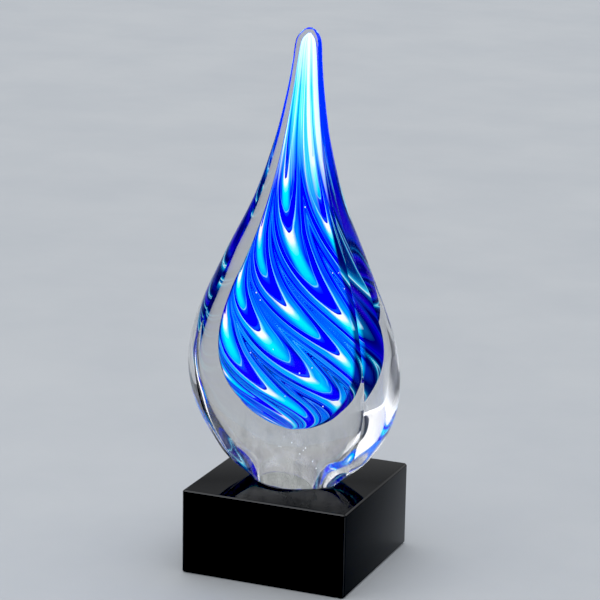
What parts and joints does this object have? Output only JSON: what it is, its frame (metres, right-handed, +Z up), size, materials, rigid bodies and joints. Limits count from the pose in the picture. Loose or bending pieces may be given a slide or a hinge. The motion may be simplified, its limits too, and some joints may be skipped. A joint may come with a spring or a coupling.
{
  "type": "art glass drop award",
  "caption": "Clear crystal drop with a polished front face and a core of twisted blue glass trails, bonded upright to a chamfered black glass block.",
  "frame": {"origin": "centre of the base's underside, on the surface that the award stands on", "axes": "+Z up; -Y is the front, where the polished face of the drop looks; +X is to the right seen from the front"},
  "size_m": [0.0968, 0.076, 0.236],
  "materials": {
    "black_glass": "polished",
    "adhesive": "clear film",
    "clear_crystal": "polished",
    "heart_glass": "fused",
    "cobalt_glass": "fused",
    "sky_glass": "fused",
    "aqua_glass": "fused",
    "white_glass": "fused"
  },
  "bodies": {
    "root": {"base_block": "black_glass", "adhesive_film": "adhesive", "crystal_casing": "clear_crystal", "core_heart": "heart_glass", "cobalt_trails": "cobalt_glass", "sky_trails": "sky_glass", "aqua_trails": "aqua_glass", "white_trails": "white_glass"}
  },
  "joints": []
}
